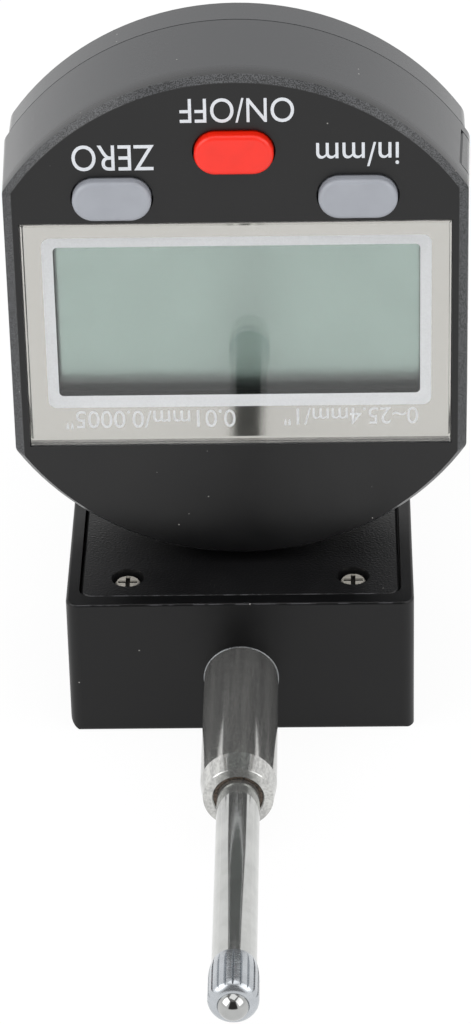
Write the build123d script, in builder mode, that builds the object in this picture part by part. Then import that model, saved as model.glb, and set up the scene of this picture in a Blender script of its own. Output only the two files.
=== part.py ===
from build123d import *
import os
from math import atan, cos, degrees, radians, sin, sqrt, tan

# Electronic digital indicator: a box-shaped measuring body with a clamping stem and a sprung
# spindle, and a round display head that folds on a friction hinge behind it.
#
# Frame: the origin is on the stem's axis, in the measuring body's end face.
# +X is to the right of the display, -Y is the way the contact ball points, +Z is up, away from
# the back of the body. At rest the head stands upright, its display facing -Y.

os.makedirs("parts", exist_ok=True)

# ---- clearances --------------------------------------------------------------------------
seat_clearance = 0.02        # radial, round pieces seated in their holes
running_clearance = 0.03     # radial, shafts that slide or turn in their bearings
moulded_gap = 0.20           # round the keys, the cover plate and the battery door
lens_gap = 0.12              # round the display lens
stop_gap = 0.20              # between the carriage and its bumper at rest

# ---- measuring body ----------------------------------------------------------------------
body_width = 37.4
body_length = 70.0
axis_to_front = 9.5          # stem axis to the rim round the cover plate
axis_to_back = 6.7           # stem axis to the back face
end_wall = 3.2
floor_thickness = 1.6
cavity_width = 30.4
cavity_corner = 1.5
back_edge_radius = 1.4       # long edges at the back
upright_edge_radius = 1.4    # corners of the outline, seen from above
foot_edge_radius = 0.35      # ends at the back
rim_edge_radius = 0.3        # round the rim
side_rim = 1.35              # rim beside the cover plate
end_rim = 1.75               # rim across its ends
recess_corner = 1.5

cover_thickness = 2.0
cover_drop = 0.15            # cover plate below the rim
cover_bevel = 0.22
cover_screw_x = 12.2
cover_screw_inset = 5.7      # screw centre to the body's end face
cover_screw_sink = 0.5       # screw head below the plate
cover_bore_radius = 1.78
boss_radius = 2.3

screw_shank_radius = 0.75
screw_head_radius = 1.32
screw_head_height = 0.9
screw_length = 5.0
screw_head_bevel = 0.16
recess_slot_width = 0.5      # cross recess in a screw head
recess_slot_length = 2.1
small_slot_width = 0.36
small_slot_length = 1.3
recess_depth = 0.45

# ---- stem, spindle and contact point -----------------------------------------------------
travel = 25.4
stem_radius = 4.0
stem_length = 22.5
stem_lead = 2.65             # length of the tapered end
stem_lead_drop = 0.33        # how far the taper runs in
stem_edge = 0.07             # edge break at the end
stem_mouth = 0.12            # bevel round the bush
stem_shank_radius = 3.5      # through the end wall
stem_nut_radius = 4.9
stem_nut_thickness = 2.0
stem_tail = 0.8              # stem past its nut
bush_wall = 0.3
bush_length = 8.0
bush_sink = 0.3              # bush below the stem's end

spindle_radius = 2.25
spindle_reach = 28.6         # stem end to the contact point
spindle_chamfer = 0.3

contact_length = 6.1         # shoulder to the ball's rim
contact_neck_radius = 2.3
contact_radius = 2.54
contact_swell = 2.2          # length of the swelling behind the barrel
contact_nose = 1.1           # length of the rounded nose in front of the barrel
stud_radius = 1.1
stud_length = 4.0
flute_count = 20
flute_depth = 0.24
flute_half_width = 0.2
ball_radius = 1.5875         # a ball of 1/8 inch
ball_depth = 0.25            # ball centre behind its rim

bumper_thickness = 1.4
bumper_wall = 1.0
bumper_clearance = 0.25

carriage_length = 33.0
clamp_length = 10.0
carriage_width = 9.0
carriage_drop = 4.5          # spindle axis to the carriage's underside
carriage_corner = 1.0
clamp_slit = 0.3             # slit in the clamp, and the spindle's end clearances
lug_end_radius = 1.4         # lug that carries the spring's pin
bed_thickness = 1.0
scale_width = 7.2
scale_thickness = 1.0
scale_margin = 0.5

guide_pin_radius = 1.0
guide_pin_reach = 3.2
guide_pin_z = -1.6
guide_pin_bevel = 0.2
rail_width = 3.6
rail_height = 6.6
rail_corner = 0.7
rail_side_gap = 0.5          # carriage side to the rail
rail_end_margin = 2.5        # slot past the pin at each end of its travel
slot_depth = 3.0

spring_radius = 1.35
spring_wire = 0.22
spring_pitch = 2.6
spring_x = -8.0
spring_z = -1.8
spring_post_radius = 0.7
spring_post_height = 5.0
spring_post_bevel = 0.15
spring_end_gap = 0.35

reader_gap = 0.35            # scale to the reader board
board_thickness = 0.8
reader_width = 18.0
reader_length = 27.0
reader_margin = 2.0
reader_screw_length = 1.6    # past the board
chip_size = 8.0
chip_thickness = 0.6
chip_bevel = 0.15
standoff_radius = 1.4
board_screw_head = 1.15
board_screw_height = 0.7
board_screw_shank = 0.55

cap_plug_radius = 3.0
cap_radius = 4.6
cap_thickness = 1.6
cap_bevel = 0.3
cap_slot_width = 0.9
cap_slot_depth = 0.7

# ---- display head ------------------------------------------------------------------------
head_offset = 0.3            # head centre to the right of the stem axis
head_gap = 0.28              # head's lower edge above the body's rim
face_setback = 8.45          # display face behind the body's end face
seam_radius = 29.15
front_radius = 28.65
seam_half_width = 24.65      # centre to a side flat, at the seam
flat_corner = 1.5            # between a side flat and the round
face_corner = 0.4            # the same corner inside the face's bevel
inner_corner = 1.2           # inside the walls
rear_side_step = 0.45        # rear cover's flats inside the shell's
rear_flat_corner = 2.0
front_shell_depth = 12.9
rear_cover_depth = 4.5
front_wall = 2.4
side_wall = 1.8
back_wall = 1.8
face_bevel_depth = 0.92      # bevel round the display face, along the wall
face_bevel_width = 0.65      # across the face, on the round
flat_bevel_width = 1.0       # across the face, on the side flats
back_edge_fillet = 0.35
shadow_gap = 0.14            # groove between the two shells
shadow_gap_depth = 0.5

lens_side_margin = 0.75      # lens to the face's bevel, at each side
lens_corner_margin = 1.32    # lens's lower corners to the face's bevel
lens_key_margin = 0.875      # lens to the side keys
lens_thickness = 1.25
lens_proud = 0.15
lens_bevel = 0.18
window_margin = 2.15         # window to the lens's side edges
window_top_margin = 1.75     # window to the lens's upper and lower edges
window_bottom_margin = 4.75
lcd_lap = 0.9                # panel behind the window's edge
lcd_lap_above = 1.0
lcd_thickness = 2.0
zebra_width = 1.6

key_width = 8.2
key_height = 4.45
key_proud = 1.2
key_edge_radius = 0.5
key_travel = 0.5
key_flange = 0.7             # flange past the key, behind the wall
key_flange_thickness = 0.5
key_stem_radius = 1.2
side_key_inset = 7.11        # side key's centre to the shell's round wall
side_key_drop = 5.2          # side keys below the centre key
centre_key_inset = 6.55      # centre key to the shell's round wall
dome_radius = 1.9
dome_thickness = 0.45
dome_bevel = 0.15
dome_gap = 0.12              # pressed key to its dome

board_depth = 4.9            # display face to the main board
board_clearance = 1.25       # round the main board
board_side_clearance = 4.7
board_end_clearance = 3.85
post_radius = 1.4
post_side_inset = 4.2        # post's centre to the board's side
post_edge_inset = 1.0        # post's centre to the board's round edge

head_boss_radius = 1.9
head_screw_inset = 2.25      # screw centre to the shell's side wall
head_screw_v = 14.6
head_screw_sink = 2.3        # screw heads below the back face
head_bore_radius = 1.6
head_screw_length = 7.0

# ---- battery tray ------------------------------------------------------------------------
cell_radius = 10.0
cell_thickness = 3.2
cell_cap_radius = 8.8
cell_cap_height = 0.5
cell_cap_bevel = 0.12
cell_clearance = 0.1
tray_wall = 1.1
tray_floor = 1.0
tray_gap = 0.15
tray_front_lip = 0.3
tray_depth = 6.3             # display face to the tray
door_thickness = 1.75        # at the middle; the door follows the head's outline
door_half_height = 16.6
door_width = 7.5
door_depth = 3.8             # display face to the door's front edge
door_gap = 0.15              # beside the door's long edges
door_end_gap = 0.3           # at its ends
door_draft = 3.0             # degrees, on its edges
nail_groove_width = 1.0
nail_groove_length = 8.0
nail_groove_depth = 0.55
rail_rib = 1.2               # ribs that guide the tray
rail_ledge = 1.6
leaf_width = 2.0
leaf_length = 8.0
leaf_height = 0.6
leaf_corner = 0.5

# ---- hinge -------------------------------------------------------------------------------
fold_gap = 0.35              # folded head above the body's rim
hinge_inset = 2.3            # hinge axis from the back of the head
lug_radius = 2.0
lug_width = 9.0
hinge_pin_radius = 0.8
washer_radius = 1.9
washer_thickness = 0.25
washer_gap = 0.03
ear_width = 2.5
ear_radius = 2.2
bridge_height = 2.6
bridge_clearance = 0.6       # lug to the yoke's bridge
yoke_gap = 0.2
yoke_screw_x = 2.6
yoke_screw_sink = 1.0        # screw seats below the back of the bridge
yoke_screw_head = 0.9
yoke_screw_height = 0.6
hinge_block_wall = 2.0
hinge_base_thickness = 0.9
hinge_base_width = 17.0
hinge_base_front = 4.0       # base in front of the hinge axis
hinge_base_back = 9.0
hinge_base_corner = 1.5
hinge_screw_inset = 1.9
hinge_screw_radius = 0.6
hinge_screw_head = 1.15

# ---- places worked out from the sizes above ----------------------------------------------
floor_z = floor_thickness - axis_to_back
cover_top = axis_to_front - cover_drop
ledge_z = cover_top - cover_thickness
cover_screws_at = [(x, y) for x in (-cover_screw_x, cover_screw_x)
                   for y in (cover_screw_inset, body_length - cover_screw_inset)]
cover_head_seat = cover_top - cover_screw_sink - screw_head_height

bush_inner = spindle_radius + running_clearance
bush_outer = bush_inner + bush_wall
stem_inner_end = end_wall + stem_nut_thickness + stem_tail
contact_seat = -stem_length - spindle_reach
barrel_end = contact_seat - contact_length + contact_nose
ball_rim = contact_seat - contact_length
ball_y = ball_rim + ball_depth
nose_radius = sqrt(ball_radius ** 2 - ball_depth ** 2) + seat_clearance

bumper_end = stem_inner_end + bumper_thickness
carriage_front = bumper_end + stop_gap
clamp_end = carriage_front + clamp_length
carriage_end = carriage_front + carriage_length
bed_bottom = spindle_radius + bed_thickness
scale_bottom = bed_bottom + bed_thickness
scale_top = scale_bottom + scale_thickness
reader_bottom = scale_top + reader_gap
reader_center = carriage_front + travel / 2 + carriage_length / 2
guide_pin_y = (carriage_front + clamp_end) / 2
rail_inner = carriage_width / 2 + rail_side_gap
rail_start = guide_pin_y - guide_pin_radius - rail_end_margin
rail_end = guide_pin_y + travel + guide_pin_radius + rail_end_margin
spring_start = end_wall + stem_nut_thickness + spring_radius
spring_lug_y = carriage_end - lug_end_radius

wall_depth = front_shell_depth - face_bevel_depth
draft = degrees(atan((seam_radius - front_radius) / wall_depth))
front_half_width = seam_half_width - (seam_radius - front_radius)
front_corner = flat_corner - (seam_radius - front_radius)
head_z = axis_to_front + head_gap + seam_radius
seam_y = face_setback + front_shell_depth
head_back_y = seam_y + rear_cover_depth
back_inner_depth = front_shell_depth + rear_cover_depth - back_wall
inner_radius = front_radius - side_wall
inner_half_width = front_half_width - side_wall
rear_half_width = seam_half_width - rear_side_step
centre_key_v = inner_radius - centre_key_inset
side_key_v = centre_key_v - side_key_drop
side_key_x = sqrt((inner_radius - side_key_inset) ** 2 - side_key_v ** 2)
lens_width = 2 * (front_half_width - flat_bevel_width - lens_side_margin)
lens_top = side_key_v - key_height / 2 - lens_key_margin
lens_corner_radius = front_radius - face_bevel_width - lens_corner_margin
lens_bottom = -sqrt(lens_corner_radius ** 2 - (lens_width / 2) ** 2)
lens_height = lens_top - lens_bottom
lens_center = (lens_top + lens_bottom) / 2
window_width = lens_width - 2 * window_margin
window_height = lens_height - window_top_margin - window_bottom_margin
window_center = lens_center + (window_bottom_margin - window_top_margin) / 2
lcd_width = window_width + 2 * lcd_lap
lcd_height = window_height + 2 * lcd_lap_above
board_back = board_depth + board_thickness
main_board_radius = inner_radius - board_clearance
main_board_width = 2 * (inner_half_width - board_side_clearance)
main_board_height = 2 * (inner_radius - board_end_clearance)
post_x = main_board_width / 2 - post_side_inset
post_v = sqrt((main_board_radius - post_edge_inset) ** 2 - post_x ** 2)
head_screw_x = inner_half_width - head_screw_inset
head_screws_at = [(x, v) for x in (-head_screw_x, head_screw_x) for v in (-head_screw_v, head_screw_v)]
posts_at = [(x, v) for x in (-post_x, post_x) for v in (-post_v, post_v)]
keys_at = {"zero_button": (-side_key_x, side_key_v),
           "power_button": (0, centre_key_v),
           "unit_button": (side_key_x, side_key_v)}
key_stem_end = board_depth - dome_thickness - dome_gap - key_travel

tray_thickness = tray_floor + cell_thickness + tray_front_lip
tray_half = cell_radius + cell_clearance + tray_wall
door_back = seam_half_width - door_thickness
tray_end = door_back - 2 * (cell_radius + cell_clearance) - 2 * tray_wall
cell_x = (door_back + tray_end) / 2

hinge_y = head_back_y - hinge_inset
hinge_z = axis_to_front + fold_gap + hinge_inset
lug_half = lug_width / 2
ear_inner = lug_half + washer_thickness + 2 * washer_gap
yoke_half = ear_inner + ear_width
bridge_bottom = hinge_z + lug_radius + bridge_clearance
bridge_top = bridge_bottom + bridge_height
yoke_back = hinge_y + ear_radius - face_setback
yoke_screws_at = [(x, bridge_bottom + bridge_height / 2 - head_z) for x in (-yoke_screw_x, yoke_screw_x)]
pocket_half = yoke_half + yoke_gap
pocket_top = bridge_top + yoke_gap
base_front = hinge_y - hinge_base_front
base_back = hinge_y + hinge_base_back
hinge_base_z = cover_top - hinge_base_thickness
hinge_screws_at = [(head_offset + side * (hinge_base_width / 2 - hinge_screw_inset), y)
                   for side in (-1, 1)
                   for y in (base_front + hinge_screw_inset, base_back - hinge_screw_inset)]


def head_plane(depth):
    """Plane behind the display face, centred on the head, its normal towards the reader."""
    return Plane(origin=(head_offset, face_setback + depth, head_z), x_dir=(1, 0, 0), z_dir=(0, -1, 0))


def back_plane(depth):
    """The same plane seen from the back, so that holes go in from behind."""
    return Plane(origin=(head_offset, face_setback + depth, head_z), x_dir=(-1, 0, 0), z_dir=(0, 1, 0))


def across(y):
    """Plane across the stem axis, its normal towards the contact ball."""
    return Plane.XZ.offset(-y)


def flat_sided_circle(radius, half_width, corner):
    """Outline of the head: a circle with a flat on each side."""
    Circle(radius)
    Rectangle(2 * half_width, 2 * radius, mode=Mode.INTERSECT)
    fillet(vertices(), corner)


def cylinder_between(y_start, y_end, radius, mode=Mode.ADD):
    """Round bar on the stem axis."""
    with BuildSketch(across(y_end)) as section:
        Circle(radius)
    extrude(section.sketch, amount=y_end - y_start, mode=mode)


def cross_screws(plane, points, shank_radius, length, head_radius, head_height, slot_length, slot_width):
    """Cross-recessed screws whose heads sit on the plane and whose shanks go in behind it."""
    with BuildSketch(plane) as shanks:
        with Locations(*points):
            Circle(shank_radius)
    extrude(shanks.sketch, amount=-length)
    with BuildSketch(plane) as heads:
        with Locations(*points):
            Circle(head_radius)
    extrude(heads.sketch, amount=head_height)
    top = Axis(plane.origin, plane.z_dir)
    chamfer(edges().filter_by(GeomType.CIRCLE).group_by(top)[-1], screw_head_bevel)
    with BuildSketch(plane.offset(head_height)) as crosses:
        with Locations(*points):
            Rectangle(slot_length, slot_width)
            Rectangle(slot_width, slot_length)
    extrude(crosses.sketch, amount=-recess_depth, mode=Mode.SUBTRACT)


def finish(part, label):
    """Labels a finished piece and writes its file."""
    part.label = label
    export_step(part, f"parts/{label}.step")


# ==== measuring body ======================================================================

# Die-cast tub, open at the front under the cover plate.
with BuildPart() as housing:
    with BuildSketch(across(body_length)):
        with Locations((0, (axis_to_front - axis_to_back) / 2)):
            Rectangle(body_width, axis_to_front + axis_to_back)
        fillet(vertices().group_by(Axis.Y)[0], back_edge_radius)
    extrude(amount=body_length)
    with BuildSketch(Plane.XY.offset(axis_to_front)):
        with Locations((0, body_length / 2)):
            RectangleRounded(body_width, body_length, upright_edge_radius)
    extrude(amount=-axis_to_front - axis_to_back, mode=Mode.INTERSECT)
    with BuildSketch(Plane.YZ.offset(-body_width / 2)):
        with Locations((body_length / 2, (axis_to_front - axis_to_back) / 2)):
            Rectangle(body_length, axis_to_front + axis_to_back)
        fillet(vertices().group_by(Axis.Y)[0], foot_edge_radius)
    extrude(amount=body_width, mode=Mode.INTERSECT)
    fillet(edges().group_by(Axis.Z)[-1], rim_edge_radius)
    with BuildSketch(Plane.XY.offset(axis_to_front)):
        with Locations((0, body_length / 2)):
            RectangleRounded(body_width - 2 * side_rim, body_length - 2 * end_rim, recess_corner)
    extrude(amount=ledge_z - axis_to_front, mode=Mode.SUBTRACT)
    with BuildSketch(Plane.XY.offset(ledge_z)):
        with Locations((0, body_length / 2)):
            RectangleRounded(cavity_width, body_length - 2 * end_wall, cavity_corner)
    extrude(amount=floor_z - ledge_z, mode=Mode.SUBTRACT)
    with BuildSketch(Plane.XY.offset(floor_z)):
        with Locations(*cover_screws_at):
            Circle(boss_radius)
    extrude(amount=ledge_z - floor_z)
    with Locations(Plane.XY.offset(ledge_z)):
        with Locations(*cover_screws_at):
            Hole(screw_shank_radius + seat_clearance, depth=screw_length)
    with Locations(across(0)):
        Hole(stem_shank_radius + seat_clearance, depth=end_wall)
    with Locations(Plane(origin=(0, body_length, 0), z_dir=(0, 1, 0))):
        Hole(cap_plug_radius + seat_clearance, depth=end_wall)
finish(housing.part, "housing")

# Textured cover plate, with a pocket for the hinge base and standoffs under it.
reader_screws_at = [(x, y) for x in (-reader_width / 2 + standoff_radius, reader_width / 2 - standoff_radius)
                    for y in (reader_center - reader_length / 2 + reader_margin,
                              reader_center + reader_length / 2 - reader_margin)]
with BuildPart() as cover_plate:
    with BuildSketch(Plane.XY.offset(ledge_z)):
        with Locations((0, body_length / 2)):
            RectangleRounded(body_width - 2 * (side_rim + moulded_gap),
                             body_length - 2 * (end_rim + moulded_gap), recess_corner - moulded_gap)
    extrude(amount=cover_thickness)
    chamfer(edges().group_by(Axis.Z)[-1], cover_bevel)
    with Locations(Plane.XY.offset(cover_top)):
        with Locations(*cover_screws_at):
            CounterBoreHole(screw_shank_radius + moulded_gap, cover_bore_radius,
                            cover_screw_sink + screw_head_height)
    with BuildSketch(Plane.XY.offset(cover_top)):
        with Locations((head_offset, (base_front + base_back) / 2)):
            RectangleRounded(hinge_base_width + 2 * seat_clearance,
                             base_back - base_front + 2 * seat_clearance, hinge_base_corner)
    extrude(amount=-hinge_base_thickness, mode=Mode.SUBTRACT)
    with Locations(Plane.XY.offset(hinge_base_z)):
        with Locations(*hinge_screws_at):
            Hole(hinge_screw_radius + seat_clearance)
    with BuildSketch(Plane.XY.offset(reader_bottom + board_thickness)):
        with Locations(*reader_screws_at):
            Circle(standoff_radius)
    extrude(amount=ledge_z - reader_bottom - board_thickness)
    with Locations(Plane.XY.offset(reader_bottom + board_thickness)):
        with Locations(*reader_screws_at):
            Hole(board_screw_shank + seat_clearance, depth=reader_screw_length)
finish(cover_plate.part, "cover_plate")

with BuildPart() as cover_screws:
    cross_screws(Plane.XY.offset(cover_head_seat), cover_screws_at, screw_shank_radius,
                 screw_length, screw_head_radius, screw_head_height, recess_slot_length, recess_slot_width)
finish(cover_screws.part, "cover_screws")

# Clamping stem: its shoulder bears on the end face and a nut holds it from inside.
with BuildPart() as stem:
    cylinder_between(-stem_length, 0, stem_radius)
    chamfer(edges().group_by(Axis.Y)[0], stem_lead, stem_lead_drop, reference=faces().sort_by(Axis.Y)[1])
    chamfer(edges().group_by(Axis.Y)[0], stem_edge)
    cylinder_between(0, stem_inner_end, stem_shank_radius)
    cylinder_between(-stem_length, stem_inner_end, bush_outer + seat_clearance, mode=Mode.SUBTRACT)
    chamfer(edges().group_by(Axis.Y)[0].sort_by(SortBy.RADIUS)[0], stem_mouth)
finish(stem.part, "stem")

with BuildPart() as stem_nut:
    with BuildSketch(across(end_wall)):
        RegularPolygon(stem_nut_radius, 6)
        Circle(stem_shank_radius + seat_clearance, mode=Mode.SUBTRACT)
    extrude(amount=-stem_nut_thickness)
finish(stem_nut.part, "stem_nut")

# Bronze bushes at both ends of the stem's bore.
bush_starts = {"lower_bush": -stem_length + bush_sink, "upper_bush": stem_inner_end - bush_length}
for bush_name, bush_start in bush_starts.items():
    with BuildPart() as bush:
        cylinder_between(bush_start, bush_start + bush_length, bush_outer)
        cylinder_between(bush_start, bush_start + bush_length, bush_inner, mode=Mode.SUBTRACT)
    finish(bush.part, bush_name)

with BuildPart() as bumper:
    cylinder_between(stem_inner_end, bumper_end, spindle_radius + bumper_clearance + bumper_wall)
    cylinder_between(stem_inner_end, bumper_end, spindle_radius + bumper_clearance, mode=Mode.SUBTRACT)
finish(bumper.part, "bumper")

# Slotted rail on the floor that keeps the carriage from turning.
with BuildPart() as guide_rail:
    with BuildSketch(Plane.XY.offset(floor_z)):
        with Locations((rail_inner + rail_width / 2, (rail_start + rail_end) / 2)):
            Rectangle(rail_width, rail_end - rail_start)
    extrude(amount=rail_height)
    fillet(edges().filter_by(Axis.Z), rail_corner)
    with BuildSketch(Plane.YZ.offset(rail_inner)):
        with Locations(((rail_start + rail_end) / 2, guide_pin_z)):
            SlotOverall(rail_end - rail_start - rail_end_margin,
                        2 * (guide_pin_radius + running_clearance))
    extrude(amount=slot_depth, mode=Mode.SUBTRACT)
finish(guide_rail.part, "guide_rail")

# Reader board under the cover plate, with its chip.
with BuildPart() as reader_board:
    with BuildSketch(Plane.XY.offset(reader_bottom)):
        with Locations((0, reader_center)):
            RectangleRounded(reader_width, reader_length, standoff_radius)
        with Locations(*reader_screws_at):
            Circle(board_screw_shank + seat_clearance, mode=Mode.SUBTRACT)
    extrude(amount=board_thickness)
finish(reader_board.part, "reader_board")

with BuildPart() as reader_chip:
    with BuildSketch(Plane.XY.offset(reader_bottom + board_thickness)):
        with Locations((0, reader_center)):
            Rectangle(chip_size, chip_size)
    extrude(amount=chip_thickness)
    chamfer(edges().group_by(Axis.Z)[-1], chip_bevel)
finish(reader_chip.part, "reader_chip")

with BuildPart() as reader_screws:
    cross_screws(Plane.XY.offset(reader_bottom).rotated((180, 0, 0)),
                 [(x, -y) for x, y in reader_screws_at], board_screw_shank,
                 board_thickness + reader_screw_length, board_screw_head, board_screw_height,
                 small_slot_length, small_slot_width)
finish(reader_screws.part, "reader_screws")

# Plug that closes the bore behind the spindle.
with BuildPart() as rear_cap:
    cylinder_between(body_length - end_wall, body_length, cap_plug_radius)
    cylinder_between(body_length, body_length + cap_thickness, cap_radius)
    chamfer(edges().group_by(Axis.Y)[-1], cap_bevel)
    with BuildSketch(across(body_length + cap_thickness)):
        Rectangle(2 * cap_radius, cap_slot_width)
    extrude(amount=cap_slot_depth, mode=Mode.SUBTRACT)
finish(rear_cap.part, "rear_cap")

with BuildPart() as spring_post:
    with BuildSketch(Plane.XY.offset(floor_z)):
        with Locations((spring_x, spring_start)):
            Circle(spring_post_radius)
    extrude(amount=spring_post_height)
    chamfer(edges().group_by(Axis.Z)[-1], spring_post_bevel)
finish(spring_post.part, "spring_post")

# ==== spindle and what moves with it ======================================================

with BuildPart() as spindle:
    cylinder_between(contact_seat, clamp_end + spindle_chamfer, spindle_radius)
    chamfer(edges().group_by(Axis.Y)[-1], spindle_chamfer)
    with Locations(across(contact_seat)):
        Hole(stud_radius + seat_clearance, depth=stud_length + spindle_chamfer)
finish(spindle.part, "spindle")

# Contact point: a fluted barrel that fingers can turn, with a stud behind it.
with BuildPart() as contact_point:
    with BuildSketch(Plane.XY):
        with BuildLine():
            Polyline((0, contact_seat + stud_length), (stud_radius, contact_seat + stud_length),
                     (stud_radius, contact_seat), (contact_neck_radius, contact_seat))
            Spline((contact_neck_radius, contact_seat), (contact_radius, contact_seat - contact_swell),
                   tangents=((contact_radius - contact_neck_radius, -contact_swell / 2), (0, -1)))
            Line((contact_radius, contact_seat - contact_swell), (contact_radius, barrel_end))
            TangentArc((contact_radius, barrel_end), (nose_radius, ball_rim), tangent=(0, -1))
            Polyline((nose_radius, ball_rim), (0, ball_rim), (0, contact_seat + stud_length))
        make_face()
    revolve(axis=Axis.Y)
    with BuildSketch(across(contact_seat)):
        with PolarLocations(contact_radius, flute_count):
            Polygon((flute_half_width / 2, -flute_half_width), (flute_half_width / 2, flute_half_width),
                    (-flute_depth, 0), align=None)
    extrude(amount=contact_length, mode=Mode.SUBTRACT)
    with Locations((0, ball_y, 0)):
        Sphere(ball_radius + seat_clearance, mode=Mode.SUBTRACT)
finish(contact_point.part, "contact_point")

with BuildPart() as contact_ball:
    with Locations((0, ball_y, 0)):
        Sphere(ball_radius)
finish(contact_ball.part, "contact_ball")

# Carriage: a split clamp on the spindle that carries the bed for the scale.
with BuildPart() as carriage:
    with BuildSketch(across(clamp_end)):
        with Locations((0, (bed_bottom - carriage_drop) / 2)):
            RectangleRounded(carriage_width, bed_bottom + carriage_drop, carriage_corner)
    extrude(amount=clamp_length)
    with BuildSketch(Plane.XY.offset(bed_bottom)):
        with Locations((0, (carriage_front + carriage_end) / 2)):
            Rectangle(carriage_width, carriage_length)
        with Locations(((spring_x - carriage_width / 2) / 2, spring_lug_y)):
            SlotOverall(2 * lug_end_radius - spring_x - carriage_width / 2, 2 * lug_end_radius)
    extrude(amount=bed_thickness)
    with BuildSketch(Plane.XY.offset(bed_bottom)):
        with Locations((spring_x, spring_lug_y)):
            Circle(spring_post_radius)
    extrude(amount=spring_z - spring_post_radius - bed_bottom)
    with Locations(across(carriage_front)):
        Hole(spindle_radius + seat_clearance, depth=clamp_length)
    with BuildSketch(across(carriage_front)):
        with Locations((0, -(spindle_radius + carriage_drop) / 2)):
            Rectangle(clamp_slit, carriage_drop - spindle_radius + clamp_slit)
    extrude(amount=-clamp_length, mode=Mode.SUBTRACT)
    with Locations(Plane.YZ.offset(carriage_width / 2)):
        with Locations((guide_pin_y, guide_pin_z)):
            Hole(guide_pin_radius + seat_clearance, depth=carriage_width / 2 - spindle_radius)
finish(carriage.part, "carriage")

with BuildPart() as guide_pin:
    with BuildSketch(Plane.YZ.offset(spindle_radius + clamp_slit)):
        with Locations((guide_pin_y, guide_pin_z)):
            Circle(guide_pin_radius)
    extrude(amount=carriage_width / 2 + guide_pin_reach - spindle_radius - clamp_slit)
    chamfer(edges().group_by(Axis.X)[-1], guide_pin_bevel)
finish(guide_pin.part, "guide_pin")

with BuildPart() as scale_strip:
    with BuildSketch(Plane.XY.offset(scale_bottom)):
        with Locations((0, (carriage_front + carriage_end) / 2)):
            Rectangle(scale_width, carriage_length - 2 * scale_margin)
    extrude(amount=scale_thickness)
finish(scale_strip.part, "scale_strip")

# Extension spring between the post on the floor and the pin under the carriage's lug.
spring_front = spring_start + spring_post_radius + spring_end_gap
spring_back = spring_lug_y - spring_post_radius - spring_end_gap
with BuildPart() as return_spring:
    with BuildLine() as coil:
        Helix(spring_pitch, spring_back - spring_front, spring_radius,
              center=(spring_x, spring_front, spring_z), direction=(0, 1, 0))
    with BuildSketch(Plane(origin=coil.line @ 0, z_dir=coil.line % 0)):
        RegularPolygon(spring_wire, 6)
    sweep(is_frenet=True)
finish(return_spring.part, "return_spring")

# ==== display head ========================================================================

# Front shell: drafted wall, bevelled face, lens seat, key holes, posts and screw bosses.
with BuildPart() as front_shell:
    with BuildSketch(head_plane(0)):
        flat_sided_circle(front_radius - face_bevel_width, front_half_width - flat_bevel_width, face_corner)
    with BuildSketch(head_plane(face_bevel_depth)):
        flat_sided_circle(front_radius, front_half_width, front_corner)
    loft(ruled=True)
    extrude(faces().sort_by(Axis.Y)[-1], amount=wall_depth, taper=-draft)
    with BuildSketch(head_plane(front_wall)):
        flat_sided_circle(inner_radius, inner_half_width, inner_corner)
    extrude(amount=front_wall - front_shell_depth, mode=Mode.SUBTRACT)
    with BuildSketch(head_plane(0)):
        with Locations((0, lens_center)):
            Rectangle(lens_width + 2 * lens_gap, lens_height + 2 * lens_gap)
    extrude(amount=lens_proud - lens_thickness, mode=Mode.SUBTRACT)
    with BuildSketch(head_plane(0)):
        with Locations((0, window_center)):
            Rectangle(window_width, window_height)
        with Locations(*keys_at.values()):
            SlotOverall(key_width + 2 * moulded_gap, key_height + 2 * moulded_gap)
    extrude(amount=-front_wall, mode=Mode.SUBTRACT)
    with BuildSketch(head_plane(front_wall)):
        with Locations(*posts_at):
            Circle(post_radius)
    extrude(amount=front_wall - board_depth)
    with BuildSketch(head_plane(front_wall)):
        with Locations(*head_screws_at):
            Circle(head_boss_radius)
    extrude(amount=front_wall - front_shell_depth)
    with BuildSketch(head_plane(front_shell_depth)):
        Circle(inner_radius + side_wall / 2)
        with Locations((0, pocket_top + hinge_block_wall - head_z - inner_radius)):
            Rectangle(2 * (pocket_half + hinge_block_wall), 2 * inner_radius, mode=Mode.INTERSECT)
    extrude(amount=hinge_block_wall)
    with Locations(back_plane(front_shell_depth)):
        with Locations(*head_screws_at):
            Hole(screw_shank_radius + seat_clearance, depth=head_screw_length)
        with Locations(*yoke_screws_at):
            Hole(board_screw_shank + seat_clearance, depth=hinge_block_wall)
    with Locations(back_plane(board_depth)):
        with Locations(*posts_at):
            Hole(board_screw_shank + seat_clearance, depth=board_depth - front_wall)
    with BuildSketch(Plane.YZ.offset(head_offset + door_back)):
        with Locations((face_setback + door_depth + door_width / 2, head_z)):
            Rectangle(door_width + 2 * door_gap, 2 * (door_half_height + door_end_gap))
    extrude(amount=door_thickness, mode=Mode.SUBTRACT)
    with BuildSketch(Plane.YZ.offset(head_offset + door_back)):
        with Locations((face_setback + tray_depth + tray_thickness / 2, head_z)):
            Rectangle(tray_thickness + 2 * tray_gap, 2 * (tray_half + tray_gap))
    extrude(amount=inner_half_width - door_back, mode=Mode.SUBTRACT)
finish(front_shell.part, "front_shell")

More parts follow.
